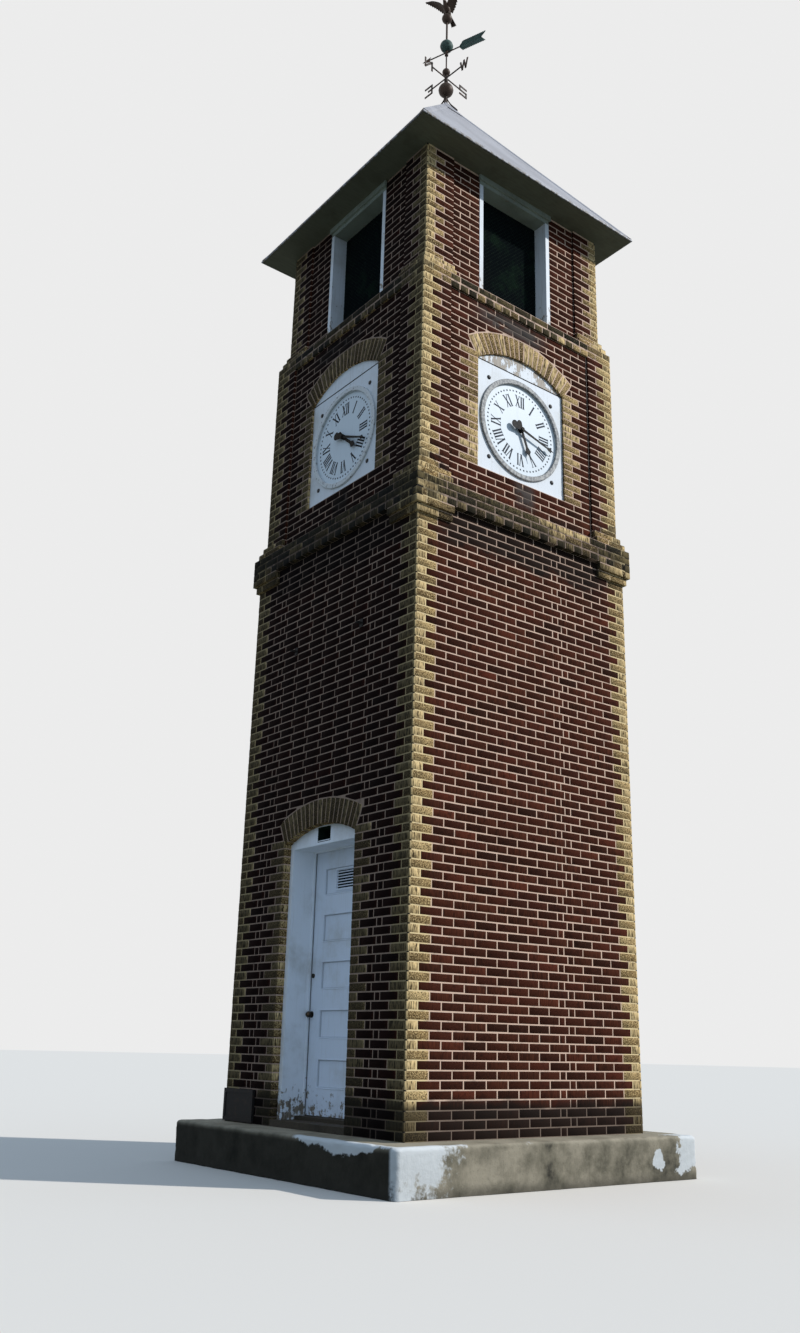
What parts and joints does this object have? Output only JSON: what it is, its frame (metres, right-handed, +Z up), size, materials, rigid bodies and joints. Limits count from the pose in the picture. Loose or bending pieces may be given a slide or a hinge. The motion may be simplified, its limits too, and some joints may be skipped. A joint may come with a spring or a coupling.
{
  "type": "clock tower",
  "caption": "Square brick clock tower on a concrete plinth, with an arched doorway, a dial on each side, a screened belfry, a pyramid roof and a weather vane.",
  "frame": {"origin": "middle of the underside of the plinth", "axes": "+Z up; -Y is the side with the door; +X is the side to the right of someone facing the door"},
  "size_m": [3.038, 3.038, 12.2974],
  "materials": {
    "concrete": "weathered",
    "brick": "rough",
    "buff_brick": "rough",
    "painted_wood": "peeling paint",
    "floor_wood": "plain",
    "dial_white": "satin",
    "bezel_metal": "weathered",
    "hand_metal": "painted",
    "hardware": "worn",
    "sheet_metal": "matt",
    "screen_mesh": "weathered",
    "roof_metal": "worn",
    "soffit_paint": "matt",
    "dark_iron": "rusty",
    "verdigris": "verdigris"
  },
  "bodies": {
    "tower": {"plinth": "concrete", "shaft_back_wall": "brick", "shaft_side_walls": "brick", "shaft_front_piers": "brick", "shaft_over_door": "brick", "door_arch": "buff_brick", "door_sill": "painted_wood", "door_jambs": "painted_wood", "door_head": "painted_wood", "transom_board": "painted_wood", "door_hinges": "hardware", "utility_cover": "sheet_metal", "wall_brackets": "hardware", "corbel_band_ends": "brick", "corbel_band_sides": "brick", "corbel_corners": "brick", "clock_piers": "brick", "clock_panels": "brick", "clock_jambs": "brick", "clock_arches": "buff_brick", "belfry_sills": "brick", "clock_boards": "painted_wood", "clock_tympana": "painted_wood", "clock_dials": "dial_white", "clock_bezels": "bezel_metal", "hand_arbors": "hardware", "belfry_corner_steps": "brick", "belfry_piers": "brick", "belfry_side_panels": "brick", "belfry_frame_posts": "painted_wood", "belfry_frame_rails": "painted_wood", "belfry_cornices": "painted_wood", "belfry_screens": "screen_mesh", "belfry_floor": "floor_wood", "soffit_ends": "soffit_paint", "soffit_sides": "soffit_paint", "roof_ends": "roof_metal", "roof_sides": "roof_metal", "vane_mount": "dark_iron", "vane_rod": "dark_iron", "mast_balls": "dark_iron", "compass_arms": "dark_iron"},
    "door": {"door_leaf": "painted_wood", "door_vent": "sheet_metal", "door_knobs": "hardware", "leaf_hinges": "hardware"},
    "vane": {"vane_arrow": "dark_iron", "vane_feather": "verdigris", "vane_balls": "verdigris", "vane_bird": "dark_iron"},
    "front_hour": {"hour_hand_front": "hand_metal"},
    "front_minute": {"minute_hand_front": "hand_metal"},
    "right_hour": {"hour_hand_right": "hand_metal"},
    "right_minute": {"minute_hand_right": "hand_metal"},
    "back_hour": {"hour_hand_back": "hand_metal"},
    "back_minute": {"minute_hand_back": "hand_metal"},
    "left_hour": {"hour_hand_left": "hand_metal"},
    "left_minute": {"minute_hand_left": "hand_metal"}
  },
  "joints": [
    {"name": "door_swing", "type": "hinge", "parent": "tower", "child": "door", "pos_m": [0.4605, -0.867, 1.45], "axis": [0, 0, -1], "range_deg": [0, 100]},
    {"name": "vane_turn", "type": "hinge", "parent": "tower", "child": "vane", "pos_m": [0, 0, 11.55], "axis": [0, 0, 1], "continuous": true},
    {"name": "front_minute_turn", "type": "hinge", "parent": "tower", "child": "front_minute", "pos_m": [0, -1.16, 6.26518], "axis": [0, -1, 0], "continuous": true},
    {"name": "front_hour_turn", "type": "hinge", "parent": "tower", "child": "front_hour", "pos_m": [0, -1.16, 6.26518], "axis": [0, -1, 0], "continuous": true},
    {"name": "right_minute_turn", "type": "hinge", "parent": "tower", "child": "right_minute", "pos_m": [1.16, 0, 6.26518], "axis": [1, 0, 0], "continuous": true},
    {"name": "right_hour_turn", "type": "hinge", "parent": "tower", "child": "right_hour", "pos_m": [1.16, 0, 6.26518], "axis": [1, 0, 0], "continuous": true},
    {"name": "back_minute_turn", "type": "hinge", "parent": "tower", "child": "back_minute", "pos_m": [0, 1.16, 6.26518], "axis": [0, 1, 0], "continuous": true},
    {"name": "back_hour_turn", "type": "hinge", "parent": "tower", "child": "back_hour", "pos_m": [0, 1.16, 6.26518], "axis": [0, 1, 0], "continuous": true},
    {"name": "left_minute_turn", "type": "hinge", "parent": "tower", "child": "left_minute", "pos_m": [-1.16, 0, 6.26518], "axis": [-1, 0, 0], "continuous": true},
    {"name": "left_hour_turn", "type": "hinge", "parent": "tower", "child": "left_hour", "pos_m": [-1.16, 0, 6.26518], "axis": [-1, 0, 0], "continuous": true}
  ],
  "couplings": [
    {"joint": "front_hour_turn", "follows": "front_minute_turn", "ratio": 0.083333},
    {"joint": "right_hour_turn", "follows": "right_minute_turn", "ratio": 0.083333},
    {"joint": "back_hour_turn", "follows": "back_minute_turn", "ratio": 0.083333},
    {"joint": "left_hour_turn", "follows": "left_minute_turn", "ratio": 0.083333}
  ]
}
